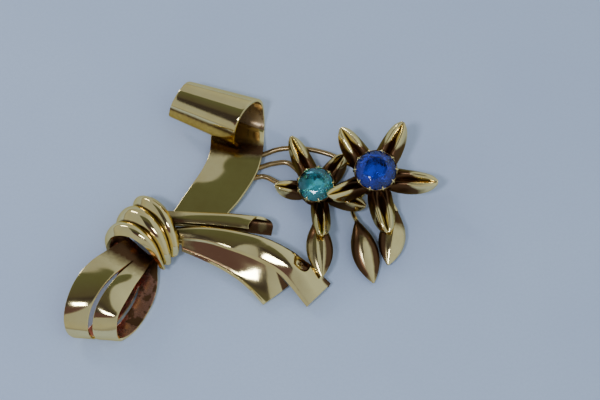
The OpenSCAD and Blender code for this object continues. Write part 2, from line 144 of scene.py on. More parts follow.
# Stems: routes from behind the scroll to behind the flowers
STEMS = {
    "stem_upper": [(-3, 9.4, 0.7), (2, 11.1, 0.7), (4.5, 11.9, 1.1), (7, 12.1, 1.5),
                   (10.1, 11.9, 1.6), (14.4, 10.8, 1.6), (18.4, 8.6, 2), (21.4, 6.3, 3.7)],
    "stem_middle": [(-4, 6.4, 0.9), (1.5, 8.4, 0.9), (4, 9.1, 1.1), (7, 9, 1.3), (10.2, 5.6, 1.5)],
    "stem_lower": [(-4.6, 4.8, 0.9), (0.9, 6.4, 0.9), (2.8, 6.3, 1.1), (5.2, 5, 1.2), (9.6, 3.2, 1.5)],
}

# Petal: place from root to tip, half width, height of the middle line and
# height of the two swellings, as shares of the full size
PETAL = [(0, 0.7, 0, 0.1), (0.15, 0.98, 0, 0.5), (0.35, 1.02, 0.05, 0.95), (0.55, 0.98, 0.2, 1),
         (0.75, 0.83, 0.5, 0.8), (0.9, 0.56, 0.85, 0.4), (1, 0.14, 1.1, 0.0)]
PETAL_ROOT = 2.0

# Flowers. Base and web are the radii of the discs below the petals, and
# facets is the turn of the stone. Petals: heading, length, share of the
# width, rise of the tip, tilt down at the root and how much painted shade
# is laid on it
FLOWERS = {
    "blue": {
        "middle": (22.9, 5, 4.8), "lean": (4, -2), "girdle": 3.3, "base": 1.8, "web": 3.9,
        "claws": 10, "facets": 0,
        "petals": [(126, 10.9, 1, 1.4, -6, 0), (61, 11.1, 1, 1.4, -8, 0), (-8, 11.5, 1, 0.8, 0, 0),
                   (-79, 11, 1, 0.6, 4, 0), (-150, 11, 0.84, 1.7, -15, 0)],
    },
    "teal": {
        "middle": (12.2, 3.3, 2.6), "lean": (3, -7), "girdle": 2.7, "base": 1.6, "web": 3.3,
        "claws": 9, "facets": 15,
        "petals": [(115, 11, 0.84, 1.4, -6, 0), (54, 8.6, 0.9, 0, 5, 0.3), (176, 7.8, 0.8, 1.2, -4, 0.1),
                   (-83, 11.2, 0.76, 2, -12, 0), (-22, 9.6, 0.8, -0.4, -2, 0.45)],
    },
}
# Depth of a cup as a share of its stone, and thickness of its wall
CUP_DEPTH, CUP_WALL = 0.33, 0.24
# A claw from its root below the girdle to its tip: distance out from the
# stone's seat, and height
CLAW = [(0.3, -0.6), (0.27, -0.1), (0.2, 0.3), (-0.02, 0.56), (-0.3, 0.64)]

# Buds: place from root to tip, half width and half height, as shares of the
# full size
BUD = [(0, 0.16, 0.2), (0.12, 0.48, 0.6), (0.3, 0.85, 1), (0.5, 1, 0.92), (0.7, 0.86, 0.65),
       (0.88, 0.46, 0.3), (1, 0.05, 0.05)]
BUD_WIDTH, BUD_HEIGHT = 4.9, 2.4
# Share of the way along a bud and its wire where the bud starts
BUD_WIRE = 0.34
# Buds: route of the wire, tip, depth of the crease along the top, and how
# much darker the left and right flank are
BUDS = {
    "bud_left": ([(12.4, 1.9, 1.4), (12.2, -0.4, 1.7), (12.1, -2.8, 2.9)], (13, -14, 2.95), 0.1, 0.5, 0.85),
    "bud_middle": ([(21.9, 3.8, 3.7), (20.7, 2.6, 2.4), (19.3, 0.9, 1.2), (18.7, -0.6, 1.1),
                    (19.4, -3, 2.2)], (22.4, -14.4, 0.7), 0.0, 0.9, 0.9),
    "bud_right": ([(23.8, 3.8, 3.68), (25.2, 1.6, 2.5), (26.7, -0.8, 1.7)],
                  (25, -11.2, 1.4), -0.12, 0.85, 0.0),
}

PIN_START = Vector((-14.3, -6.2, 0.8))
PIN_TURN = -12
PIN_LENGTH = 22.0
# Blocks of the pin's joint and catch: middle, and size. The joint has a plate
# and two ears, and the catch a plate, a post and a hook
PIN_BLOCKS = [
    ((0, 0, 1.4), (2.4, 2.4, 0.4)), ((0, 0.95, 0.35), (1.7, 0.4, 1.9)), ((0, -0.95, 0.35), (1.7, 0.4, 1.9)),
    ((PIN_LENGTH, 0, 1.5), (2.0, 2.4, 0.4)), ((PIN_LENGTH, 0.75, 0.6), (1.6, 0.4, 1.8)),
    ((PIN_LENGTH, 0.1, -0.48), (1.6, 1.7, 0.36)),
]


# Sizes and colours

def size_setting(name, description, default, low, high):
    """A size in metres that a user can change."""
    return bpy.props.FloatProperty(name=name, description=description, default=default, min=low, max=high,
                                   precision=5, subtype="DISTANCE", unit="LENGTH")


def colour_setting(name, description, default):
    """A colour that a user can change."""
    return bpy.props.FloatVectorProperty(name=name, description=description, default=default,
                                         min=0, max=1, size=3, subtype="COLOR")


class BroochSizes(bpy.types.PropertyGroup):
    sheet: size_setting("Ribbon sheet", "Thickness of the ribbon sheet", 0.0006, 0.0004, 0.0008)
    petal: size_setting("Petal sheet", "Thickness of the stamped petals", 0.00055, 0.0004, 0.0007)
    petal_width: size_setting("Petal width", "Width of a full petal", 0.0045, 0.004, 0.005)
    petal_puff: size_setting("Petal swelling", "Height of the two swellings of a petal",
                             0.001, 0.0006, 0.0012)
    roll: size_setting("Roll radius", "Radius of the roll at its wide right end", 0.00445, 0.0042, 0.0046)
    wrap: size_setting("Wrap height", "Height of the three wraps above the knot's arch",
                       0.001, 0.0006, 0.0012)
    slit: size_setting("Slit width", "Width of the pointed slit in the loop", 0.00085, 0.0006, 0.0014)
    stem: size_setting("Stem wire", "Diameter of the three long stems", 0.00095, 0.0007, 0.001)
    bud_wire: size_setting("Bud wire", "Diameter of the wires that the buds hang on", 0.0008, 0.0006, 0.0009)
    blue: size_setting("Blue stone", "Diameter of the blue stone", 0.0074, 0.007, 0.0076)
    teal: size_setting("Teal stone", "Diameter of the teal stone", 0.0064, 0.006, 0.0066)
    pin: size_setting("Pin wire", "Diameter of the pin stem", 0.0009, 0.0007, 0.001)


class BroochColours(bpy.types.PropertyGroup):
    gold: colour_setting("Gold", "Colour of the polished gold sheet", (0.94, 0.76, 0.33))
    # The redder gold of the loop's and the knot's inner faces is painted reddish reflection; the sheet is
    # one gold on both faces
    inside: colour_setting("Inside of the ribbon", "Warmer colour of the sheet's inner face",
                           (0.84, 0.42, 0.3))
    # This dark colour is patina in the grooves, and also painted shade in creases, under other parts and on
    # sides turned from the light
    antique: colour_setting("Antiquing", "Colour of the dark finish in the grooves", (0.13, 0.064, 0.028))
    wire: colour_setting("Wire", "Colour of the rose gold wires", (0.46, 0.31, 0.14))
    blue: colour_setting("Blue glass", "Colour of the blue stone", (0.03, 0.085, 0.86))
    teal: colour_setting("Teal glass", "Colour of the teal stone", (0.155, 0.89, 0.94))
    floor: colour_setting("Surface", "Colour of the surface that the brooch lies on", (0.70, 0.80, 1.0))


def stone_width(colour):
    """The diameter of the stone of this colour, in millimetres."""
    return getattr(bpy.context.scene.brooch_sizes, colour) / MM


# Curves and nets

def along_curve(points, u):
    """The point at u, from 0 to 1, of the smooth curve through the points."""
    last = len(points) - 1
    s = u * last
    i = max(0, min(int(floor(s)), last - 1))
    t = s - i
    b, c = Vector(points[i]), Vector(points[i + 1])
    a = Vector(points[i - 1]) if i > 0 else 2 * b - c
    d = Vector(points[i + 2]) if i < last - 1 else 2 * c - b
    return 0.5 * (2 * b + (c - a) * t + (2 * a - 5 * b + 4 * c - d) * t * t
                  + (3 * b - a - 3 * c + d) * t * t * t)


def on_net(lines, u, v):
    """The point of the surface through the fold lines: u along them and v across them."""
    return along_curve([along_curve(line, u) for line in lines], v)


def normal_of(place, u, v, step=0.004):
    du = place(min(u + step, 1), v) - place(max(u - step, 0), v)
    dv = place(u, min(v + step, 1)) - place(u, max(v - step, 0))
    return du.cross(dv).normalized()


def heading_of(path, s, step=0.01):
    return (path(min(s + step, 1)) - path(max(s - step, 0))).normalized()


def wire_frame(path, s):
    """The point, the side and the upward direction at s of a path that stays near the horizontal."""
    heading = heading_of(path, s)
    side = heading.cross(UP).normalized()
    return path(s), side, side.cross(heading)


def seated(p):
    """A table point in millimetres, moved to the frame, in metres."""
    return (p - MIDDLE) * MM


def turn_about(axis, angle):
    """The rotation by an angle in degrees."""
    return Matrix.Rotation(radians(angle), 3, axis)


def bump(x, middle, width):
    return exp(-((x - middle) / width) ** 2)


def fade(x, start, end):
    """From 0 at start to 1 at end, smoothly."""
    t = max(0.0, min(1.0, (x - start) / (end - start)))
    return t * t * (3 - 2 * t)


# Meshes

def layers(bm):
    """The mesh's layer for the darkening, which is patina and painted shade, and its UV map."""
    dark = bm.verts.layers.float.get("antique") or bm.verts.layers.float.new("antique")
    uv = bm.loops.layers.uv.get("UVMap") or bm.loops.layers.uv.new("UVMap")
    return dark, uv


def lay_out(bm, spots, place, antique, map_spot):
    """Gives each vertex its place, darkening (patina and painted shade) and UV from its spot. Returns the
    faces of these vertices.
    """
    dark, uv = layers(bm)
    for vert, spot in spots.items():
        vert[dark] = antique(*spot)
        vert.co = place(*spot)
    faces = list({f for vert in spots for f in vert.link_faces})
    for face in faces:
        face.smooth = True
        for loop in face.loops:
            loop[uv].uv = map_spot(*spots[loop.vert])
    return faces


def new_grid(bm, along, across, place, antique, uv_size):
    """A grid of along by across cells, each vertex placed by place(u, v). Returns its vertices' u and v."""
    layers(bm)
    made = bmesh.ops.create_grid(bm, x_segments=along, y_segments=across, size=1)["verts"]
    spots = {vert: ((vert.co.x + 1) / 2, (vert.co.y + 1) / 2) for vert in made}
    lay_out(bm, spots, place, antique, lambda u, v: (u * uv_size[0], v * uv_size[1]))
    return spots


def new_rod(bm, rings, sides, place, antique, length):
    """A closed round body made from a sphere: place(s, turn) gives each point, s from 0 to 1 at the tip."""
    layers(bm)
    made = bmesh.ops.create_uvsphere(bm, u_segments=sides, v_segments=rings, radius=1)["verts"]
    spots = {vert: (acos(max(-1.0, min(1.0, vert.co.z))) / pi, atan2(vert.co.y, vert.co.x))
             for vert in made}
    faces = lay_out(bm, spots, place, antique, lambda s, turn: (s * length, turn / tau * 2.5))
    bmesh.ops.recalc_face_normals(bm, faces=faces)


def new_disc(bm, height, low_r, high_r, sides, low_z):
    """A closed round block from low_z up, returned as its vertices."""
    made = bmesh.ops.create_cone(bm, cap_ends=True, cap_tris=False, segments=sides,
                                 radius1=low_r, radius2=high_r, depth=height)["verts"]
    bmesh.ops.translate(bm, vec=(0, 0, low_z + height / 2), verts=made)
    return made


def rounded(bm, verts, width, segments=2):
    """Bevels the edges between these vertices where the faces meet at more than 40 degrees."""
    chosen = set(verts)
    sharp = [e for e in {e for v in chosen for e in v.link_edges}
             if len(e.link_faces) == 2 and e.calc_face_angle(0) > radians(40)
             and e.verts[0] in chosen and e.verts[1] in chosen]
    bmesh.ops.bevel(bm, geom=sharp, offset=width, offset_type="OFFSET", affect="EDGES",
                    segments=segments, profile=0.5, material=-1, clamp_overlap=True)


def to_object(bm, name, in_table=True):
    """A mesh object in the frame, from a mesh that is in table millimetres unless in_table is false."""
    if in_table:
        for vert in bm.verts:
            vert.co = seated(vert.co)
    mesh = bpy.data.meshes.new(name)
    bm.to_mesh(mesh)
    bm.free()
    piece = bpy.data.objects.new(name, mesh)
    bpy.context.scene.collection.objects.link(piece)
    return piece


def add_polish(piece, edge=0.0):
    """Rounds the cut edges, where a width is given, and smooths the surface by one subdivision."""
    if edge:
        bevel = piece.modifiers.new("Edge", "BEVEL")
        bevel.width = edge
        bevel.segments = 2
        bevel.limit_method = "ANGLE"
        bevel.angle_limit = radians(50)
        bevel.use_clamp_overlap = True
    polish = piece.modifiers.new("Polish", "SUBSURF")
    polish.levels = polish.render_levels = 1


def finish_piece(piece, nodes, slot, *finishes):
    """Gives the piece its materials, and puts it in the place of its nodes."""
    for name in finishes:
        piece.data.materials.append(finish_of(name))
    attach(piece, "root")
    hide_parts(*nodes)


def finish_ribbon(bm, name, node, finishes, thick, offset=0.0, inner_slot=0, rim_slot=0, edge=EDGE):
    """Makes a piece of gold ribbon from a grid: thickened, its cut edges rounded, and smoothed. The slots
    are added to a face's own for its other side and its rim."""
    piece = to_object(bm, name)
    wall = piece.modifiers.new("Wall", "SOLIDIFY")
    wall.thickness = thick
    wall.offset = offset
    wall.use_even_offset = False
    wall.use_quality_normals = True
    wall.material_offset = inner_slot
    wall.material_offset_rim = rim_slot
    add_polish(piece, edge)
    finish_piece(piece, [node], "gold", *finishes)


# Materials

class Nodes:
    """A short hand for building the node tree of a material or a world."""

    def __init__(self, owner):
        owner.use_nodes = True
        self.tree = owner.node_tree
        self.tree.nodes.clear()

    def put(self, socket, value):
        """Gives a socket a value, or links another node's output to it."""
        if isinstance(value, bpy.types.NodeSocket):
            self.tree.links.new(value, socket)
        else:
            socket.default_value = (*value, 1) if socket.type == "RGBA" else value

    def add(self, kind, inputs=(), **settings):
        """A new node. Its inputs come in pairs of name or number, and value or another node's output."""
        made = self.tree.nodes.new(kind)
        for key, value in settings.items():
            setattr(made, key, value)
        for key, value in inputs:
            self.put(made.inputs[key], value)
        return made

    def coordinates(self, which, scale=(1, 1, 1)):
        source = self.add("ShaderNodeTexCoord").outputs[which]
        return self.add("ShaderNodeMapping", [("Vector", source), ("Scale", scale)]).outputs["Vector"]

    def noise(self, vector, scale, detail, roughness):
        inputs = [("Vector", vector), ("Scale", scale), ("Detail", detail), ("Roughness", roughness)]
        return self.add("ShaderNodeTexNoise", inputs).outputs["Fac"]

    def ramp(self, value, low, high, to_low=0.0, to_high=1.0):
        names = ("Value", "From Min", "From Max", "To Min", "To Max")
        inputs = zip(names, (value, low, high, to_low, to_high))
        return self.add("ShaderNodeMapRange", inputs, clamp=True).outputs["Result"]

    def number(self, how, a, b, clamp=False):
        return self.add("ShaderNodeMath", [(0, a), (1, b)], operation=how, use_clamp=clamp).outputs["Value"]

    def mix(self, factor, a, b):
        """Mixes two colours. The node's sockets 6 and 7 are its colours, and 2 is the mixed one."""
        return self.add("ShaderNodeMix", [("Factor", factor), (6, a), (7, b)], data_type="RGBA").outputs[2]

    def stops(self, value, *table):
        """A colour ramp. Each row of the table is a place and its colour."""
        made = self.add("ShaderNodeValToRGB", [("Fac", value)])
        stops = made.color_ramp.elements
        while len(stops) < len(table):
            stops.new(0.5)
        for stop, (place, colour) in zip(stops, table):
            stop.position = place
            stop.color = (*colour, 1)
        return made.outputs["Color"]

    def bump(self, height, strength, distance, after=None):
        inputs = [("Height", height), ("Strength", strength), ("Distance", distance)]
        if after:
            inputs.append(("Normal", after))
        return self.add("ShaderNodeBump", inputs).outputs["Normal"]


class Finish(Nodes):
    """A material with one shader, and coordinates in the frame's metres."""

    def __init__(self, name):
        self.material = bpy.data.materials.new(name)
        super().__init__(self.material)
        self.shader = self.add("ShaderNodeBsdfPrincipled")
        self.add("ShaderNodeOutputMaterial", [("Surface", self.shader.outputs["BSDF"])])
        self.place = self.coordinates("Object")

    def set(self, **values):
        """Sets the shader's sockets, named with an underscore for each space."""
        for key, value in values.items():
            self.put(self.shader.inputs[key.replace("_", " ")], value)


def shaded(colour, *shares):
    """The colour times one share, or each channel times its own."""
    return tuple(min(1, c * s) for c, s in zip(colour, shares if len(shares) > 1 else shares * 3))


def metal(name, colour, rough=0.1, tarnish=0.3, scratch=0.1, mottle=0.0):
    """Worn polished metal: hair scratches along the sheet, soft dents, thin tarnish, and darkening where the
    mesh says so, which is patina in the grooves and painted shade, and, with mottle, in patches."""
    n = Finish(name)
    cloud = n.noise(n.place, 260, 4.0, 0.6)
    fine = n.noise(n.place, 1500, 3.0, 0.6)
    hair = n.noise(n.coordinates("UV", (0.25, 7.0, 1.0)), 9.0, 4.0, 0.7)
    # The mesh's darkening: patina in the grooves, and painted shade where parts lie under others or turn
    # from the light
    darkening = n.add("ShaderNodeAttribute", attribute_name="antique").outputs["Fac"]
    patina_shade_and_wear = n.number("ADD", darkening, n.ramp(fine, 0.3, 0.7, -0.07, 0.07))
    if mottle:
        patches = n.noise(n.place, 480, 4.0, 0.65)
        patina_shade_and_wear = n.number("ADD", patina_shade_and_wear, n.ramp(patches, 0.4, 0.6, -0.15, mottle))
    dark = n.ramp(patina_shade_and_wear, 0.2, 0.8)
    stain = n.number("MULTIPLY", n.ramp(cloud, 0.42, 0.72), tarnish)
    warm = n.mix(stain, colour, shaded(colour, 0.78, 0.66, 0.5))
    wear = n.number("ADD", n.ramp(hair, 0.4, 0.8, 0.0, 0.05), n.ramp(cloud, 0.3, 0.8, rough, rough + 0.05))
    dents = n.bump(n.noise(n.place, 330, 2.0, 0.4), 0.06, 0.0001)
    lines = n.bump(hair, scratch, 0.00001, dents)
    n.set(Metallic=1.0, Specular_Tint=(0.92, 0.78, 0.42),
          Base_Color=n.mix(dark, warm, tuple(bpy.context.scene.brooch_colours.antique)),
          Roughness=n.number("ADD", wear, n.ramp(dark, 0.0, 1.0, 0.0, 0.2), clamp=True),
          Normal=n.bump(fine, 0.05, 0.00001, lines))
    return n.material


def glass(name, colour):
    """Cut glass: clear and tinted, with faint wear on the facets."""
    n = Finish(name)
    inner = n.noise(n.place, 700, 2.0, 0.5)
    wear = n.noise(n.place, 2500, 2.0, 0.5)
    paler = tuple(min(1, c * 1.25 + 0.01) for c in colour)
    n.set(Transmission_Weight=1.0, IOR=1.62, Base_Color=n.mix(n.ramp(inner, 0.3, 0.7), colour, paler),
          Roughness=n.ramp(wear, 0.4, 0.8, 0.01, 0.06))
    return n.material


def foil(name, colour):
    """The bright foil behind a stone, slightly uneven."""
    n = Finish(name)
    patch = n.noise(n.place, 600, 2.0, 0.5)
    n.set(Metallic=1.0, Base_Color=n.mix(n.ramp(patch, 0.3, 0.7), colour, shaded(colour, 0.75)),
          Roughness=n.ramp(patch, 0.4, 0.6, 0.1, 0.4))
    return n.material


def pale_cloth(name, colour):
    """The pale surface: matte, faintly mottled, with a very fine grain."""
    n = Finish(name)
    cloud = n.noise(n.place, 14, 4.0, 0.6)
    grain = n.noise(n.place, 1800, 3.0, 0.7)
    shade = n.mix(n.ramp(cloud, 0.3, 0.7), shaded(colour, 0.95), shaded(colour, 1.04))
    n.set(Base_Color=n.mix(n.ramp(grain, 0.35, 0.65, 0.0, 0.35), shade, shaded(colour, 0.9)),
          Roughness=0.85, Specular_IOR_Level=0.2, Normal=n.bump(grain, 0.25, 0.00005))
    return n.material


# Each finish: how it is made, its colour or the setting that holds it, and
# its wear
FINISHES = {
    "ribbon_gold": (metal, "gold", {"rough": 0.04}),
    # The inner faces: a redder gold, as painted reflection
    "ribbon_inside": (metal, "inside", {"rough": 0.16, "tarnish": 0.7, "mottle": 0.8}),
    # The roll's inside: a darker, browner gold, as painted shade in the hollow, with tarnish and patches
    "ribbon_hollow": (metal, (0.55, 0.40, 0.22), {"rough": 0.34, "tarnish": 0.85, "mottle": 0.7}),
    # The roll's underside: a deeper yellow gold, as painted reflection of the gold below it
    "ribbon_underside": (metal, (0.94, 0.60, 0.12), {"rough": 0.06}),
    "petal_gold": (metal, "gold", {"rough": 0.07, "tarnish": 0.35}),
    "stem_wire": (metal, "wire", {"rough": 0.2, "tarnish": 0.5, "scratch": 0.2}),
    "cut_glass_blue": (glass, "blue", {}),
    "cut_glass_teal": (glass, "teal", {}),
    "foil_blue": (foil, (0.62, 0.68, 0.86), {}),
    "foil_teal": (foil, (0.66, 0.82, 0.9), {}),
    "pale_cloth": (pale_cloth, "floor", {}),
}


def finish_of(name):
    """The material of this name, made when it is first asked for."""
    make, colour, wear = FINISHES[name]
    if isinstance(colour, str):
        colour = tuple(getattr(bpy.context.scene.brooch_colours, colour))
    return bpy.data.materials.get(name) or make(name, colour, **wear)


# Scroll

class BROOCH_OT_scroll(bpy.types.Operator):
    """Builds the upper ribbon, flat above the knot and rolled over at its top."""
    bl_idname = "brooch.scroll"
    bl_label = "Scroll ribbon"

    def execute(self, context):
        sizes = context.scene.brooch_sizes
        heading, away, _ = turn_about("Z", -ROLL_TURN).col

        def roll_point(angle, place, share):
            radius = sizes.roll / MM + place * ROLL_TAPER
            a = radians(angle)
            return (ROLL_ORIGIN + heading * place + away * radius * share * cos(a)
                    + UP * (radius * (1 + share * sin(a)) + sizes.sheet / MM / 2))

        def edge(side):
            return ([Vector(row[side]) for row in SCROLL_FLAT]
                    + [roll_point(row[0], row[1 + side], row[3]) for row in SCROLL_ROLL])

        left, right = edge(0), edge(1)

        def place(u, v):
            # The flat part's upper left corner is bent down a little under the roll
            corner = 0.45 * fade(u, 0.17, 0.33) * (1 - fade(u, 0.34, 0.42)) * fade(v, 0.5, 0.95)
            return along_curve(right, u).lerp(along_curve(left, u), v) - UP * corner

        def antique(u, v):
            # Painted shade at the flat part's foot, under the upper tail and the knot
            foot = 0.5 * (1 - fade(u, 0.03, 0.12))
            # Painted shadow of the roll on the flat part just below it, stronger to the right
            roll_shadow = (1 - 0.2 * fade(v, 0.45, 0.85)) * bump(u, 0.338, 0.033)
            # Painted shade on the roll's underside, with a thin darker line where it starts
            underside = 0.42 * fade(u, UNDERSIDE_START - 0.023, UNDERSIDE_START - 0.003)
            streak = 0.35 * bump(u, UNDERSIDE_START, 0.008)
            return foot + roll_shadow + underside + streak

        bm = bmesh.new()
        spots = new_grid(bm, 176, 12, place, antique, (60, 10))
        for face in bm.faces:
            far = max(spots[v][0] for v in face.verts)
            face.material_index = 3 if far > UNDERSIDE_START else 0 if far > HOLLOW_START else 1
        # Inside and outside have slots 0 and 1 in the roll, and 3 and 4 at its
        # underside. The flat part's two faces have 1 and 2
        # So the roll's inside is a darker gold, as painted shade, and its underside a deeper yellow, as
        # painted reflection
        finish_ribbon(bm, "scroll_ribbon_sheet", "scroll_ribbon",
                      ["ribbon_hollow", "ribbon_gold", "ribbon_gold", "ribbon_hollow", "ribbon_underside"],
                      sizes.sheet, inner_slot=1, rim_slot=1, edge=EDGE * 1.2)
        return {"FINISHED"}


# Lower tails

def knot_shade(u):
    """The painted shade that each tail has by the knot, where it comes out from under it."""
    return 0.6 * (1 - fade(u, 0.03, 0.24))


def upper_dark(u, v):
    """Painted shade inside the upper tail's rolled far edge and along its near edge, with a lighter painted
    highlight at the end.
    """
    # A lighter patch inside the end of the roll, as painted highlight
    end_highlight = 0.4 * bump(u, 0.9, 0.05) * bump(v, 0.85, 0.13)
    # Painted shade inside the rolled far edge
    rolled = (0.95 - end_highlight) * fade(v, 0.58, 0.68) * fade(u, 0.55, 0.8)
    # Painted shade along the near edge
    near_edge_shade = 0.5 * (1 - fade(v, 0.1, 0.22)) * (1 - fade(u, 0.45, 0.9))
    return knot_shade(u) + rolled + near_edge_shade


def middle_dark(u, v):
    """Painted shade on the middle tail's far flank and at its far cut corner."""
    # Painted shade on the far flank
    flank = 0.9 * fade(v, 0.59, 0.68) * fade(u, 0.3, 0.5) * (1 - fade(u, 0.85, 0.95))
    # Painted shade at the far cut corner, by the left bud's tip
    corner = 0.9 * fade(u, 0.93, 0.96) * fade(v, 0.52, 0.62)
    return knot_shade(u) + flank + corner


def lower_dark(u, v):
    """Darker along the lower tail's channel, with painted shade at its far cut corner."""
    darkening = 0.85 * bump(v, 0.37, 0.07) * (1 - fade(u, 0.5, 0.68))
    # Painted shade at the far cut corner
    corner = fade(v + 1.6 * (u - 0.93), 0.86, 0.92) * fade(u, 0.84, 0.88)
    return knot_shade(u) + darkening + corner


def round_cut(u, v):
    """Pulls the corners of the notch in to a round shape."""
    a, b = (u - NOTCH_U) / NOTCH_HALF_U, (v - NOTCH_V) / NOTCH_HALF_V
    far = max(abs(a), abs(b))
    if far >= 2 or far == 0:
        return u, v
    pull = far / (abs(a) ** 2.5 + abs(b) ** 2.5) ** 0.4 - 1
    k = 1 + pull * (2 - far if far > 1 else far)
    return NOTCH_U + a * k * NOTCH_HALF_U, NOTCH_V + b * k * NOTCH_HALF_V


def in_notch(spot, margin=1.0):
    """Whether a spot lies in the notch, made larger by the margin."""
    return abs(spot[0] - NOTCH_U) < NOTCH_HALF_U * margin and abs(spot[1] - NOTCH_V) < NOTCH_HALF_V * margin


def cut_notch(bm, spots):
    """Cuts the notch, and turns the sheet down and in round it in short steps."""
    inside = [f for f in bm.faces if all(in_notch(spots[v]) for v in f.verts)]
    bmesh.ops.delete(bm, geom=inside, context="FACES")
    dark, _ = layers(bm)
    rim = [e for e in bm.edges if e.is_boundary and all(in_notch(spots[v], 1.2) for v in e.verts)]
    middle = sum((v.co for e in rim for v in e.verts), Vector()) / (2 * len(rim))
    for drop, pull, least in NOTCH_STEPS:
        made = bmesh.ops.extrude_edge_only(bm, edges=rim)["geom"]
        rim = [e for e in made if isinstance(e, bmesh.types.BMEdge) and e.is_boundary]
        for vert in {v for e in rim for v in e.verts}:
            vert.co += (middle - vert.co) * pull - UP * drop
            # Painted shade on the notch's wall: darker deeper in and towards its right side
            vert[dark] = max(least, 0.9 * fade(vert.co.x - middle.x, -0.6, 0.4))
    for face in bm.faces:
        face.smooth = True


class BROOCH_OT_tails(bpy.types.Operator):
    """Builds the three fluted lower ribbon tails."""
    bl_idname = "brooch.tails"
    bl_label = "Lower tails"

    def execute(self, context):
        thick = context.scene.brooch_sizes.sheet * TAIL_SHEET
        # Name, fold lines, cells along and across, and darkening, mostly painted shade
        plans = [("tail_upper", TAIL_UPPER, 72, 48, upper_dark),
                 ("tail_middle", TAIL_MIDDLE, 154, 48, middle_dark),
                 ("tail_lower", TAIL_LOWER, 96, 36, lower_dark)]
        for name, lines, along, across, antique in plans:
            notched = name == "tail_middle"
            lip = TAIL_LIP if notched else 0.0

            def spot_of(u, v):
                return round_cut(u, v) if notched else (u, v)

            def place(u, v):
                u, v = spot_of(u, v)
                return on_net(lines, u, v) - UP * lip * (1 - fade(v, 0.0, 0.07))

            bm = bmesh.new()
            spots = new_grid(bm, along, across, place, lambda u, v: antique(*spot_of(u, v)), (26, 6))
            if notched:
                cut_notch(bm, spots)
            finish_ribbon(bm, name + "_sheet", name, ["ribbon_gold"], thick)
        return {"FINISHED"}


# Ribbon loop

class BROOCH_OT_loop(bpy.types.Operator):
    """Builds the bow's loop with its long pointed slit."""
    bl_idname = "brooch.loop"
    bl_label = "Ribbon loop"

    def execute(self, context):
        sizes = context.scene.brooch_sizes
        # Cells along the loop, across one band, and across both with the slit
        along, half = 144, 9
        across = 2 * half + 1
        # The slit's two ends, and a little room for the search for its cells
        first, last = 9 / along, 120 / along
        room = 0.001
        left, right = zip(*LOOP)

        def plain(u, v):
            return along_curve(left, u).lerp(along_curve(right, u), v)

        def place(u, v):
            a, b = along_curve(left, u), along_curve(right, u)
            middle = along_curve([(m, 0) for m in SLIT_PLACE], u).x
            run = (u - first) / (last - first)
            width = sizes.slit / MM * sin(pi * run) ** 0.4 if 0 < run < 1 else 0.0
            gap = max(width, SLIT_CLOSED) / (b - a).length / 2
            k = v * across
            if k < half + 0.5:
                share, w = (middle - gap) * k / half, 2 * k / half - 1
            else:
                share, w = 1 - (1 - middle - gap) * (across - k) / half, 2 * (across - k) / half - 1
            twist = (-0.8 * bump(u, 0.23, 0.09) + 0.35 * bump(u, 0.37, 0.05)) * max(0.0, k / half - 1)
            dome = BAND_DOME * max(0.0, 1 - w * w) * fade(u, 0.02, 0.12) * (1 - fade(u, 0.45, 0.55))
            return a.lerp(b, share) + UP * twist + normal_of(plain, u, v) * dome

        def antique(u, v):
            # Painted shade at both ends of the loop, where it runs in under the knot
            ends = 1.1 * (1 - fade(u, 0.02, 0.16)) + 0.8 * fade(u, 0.86, 0.94)
            bands = 0.5 * bump(u - 0.03 * v, 0.67, 0.014) + 0.6 * bump(u + 0.05 * v, 0.82, 0.022)
            return ends + bands

        def in_slit(spot):
            return (first - room < spot[0] < last + room
                    and half / across - room < spot[1] < (half + 1) / across + room)

        bm = bmesh.new()
        spots = new_grid(bm, along, across, place, antique, (60, 9))
        cut = [f for f in bm.faces if all(in_slit(spots[v]) for v in f.verts)]
        bmesh.ops.delete(bm, geom=cut, context="FACES")
        finish_ribbon(bm, "ribbon_loop_sheet", "ribbon_loop", ["ribbon_gold", "ribbon_inside"], sizes.sheet,
                      inner_slot=1)
        return {"FINISHED"}


# Knot

class BROOCH_OT_knot(bpy.types.Operator):
    """Builds the knot of three half-round wraps."""
    bl_idname = "brooch.knot"
    bl_label = "Knot"

    def execute(self, context):
        sizes = context.scene.brooch_sizes
        rise = sizes.wrap / MM
        half_wall = sizes.sheet / MM / 2
        wraps = len(KNOT) - 1

        def base(u, v):
            return on_net(KNOT, u, v)

        def wrap_at(v):
            """The number of the wrap at v, and the place across it, with more cells near the seams."""
            wrap = floor(min(v * wraps, wraps - 0.0001))
            return wrap, 0.5 - 0.5 * cos(pi * (v * wraps - wrap))

        def place(u, v):
            wrap, f = wrap_at(v)
            w = (wrap + f) / wraps
            height = rise * max(sin(pi * f), 0.0) * fade(u, 0.02, 0.15)
            return base(u, w) + normal_of(base, u, w) * (height + half_wall)

        def antique(u, v):
            wrap, f = wrap_at(v)
            seam = bump(f, 0, 0.06) * (wrap > 0) + bump(f, 1, 0.06) * (wrap < wraps - 1)
            # Painted shade on the far side of each wrap, and at the upper left feet by the surface
            far_side_shade = 0.42 * fade(f, 0.6, 0.92)
            foot_shade = 0.4 * (1 - fade(u, 0.1, 0.16))
            return min(1.0, 0.8 * seam + far_side_shade + foot_shade)

        bm = bmesh.new()
        new_grid(bm, 108, 66, place, antique, (24, 12))
        finish_ribbon(bm, "knot_wraps", "knot", ["ribbon_gold", "ribbon_inside"], sizes.sheet, offset=-1.0,
                      inner_slot=1)
        return {"FINISHED"}


# Stem wires

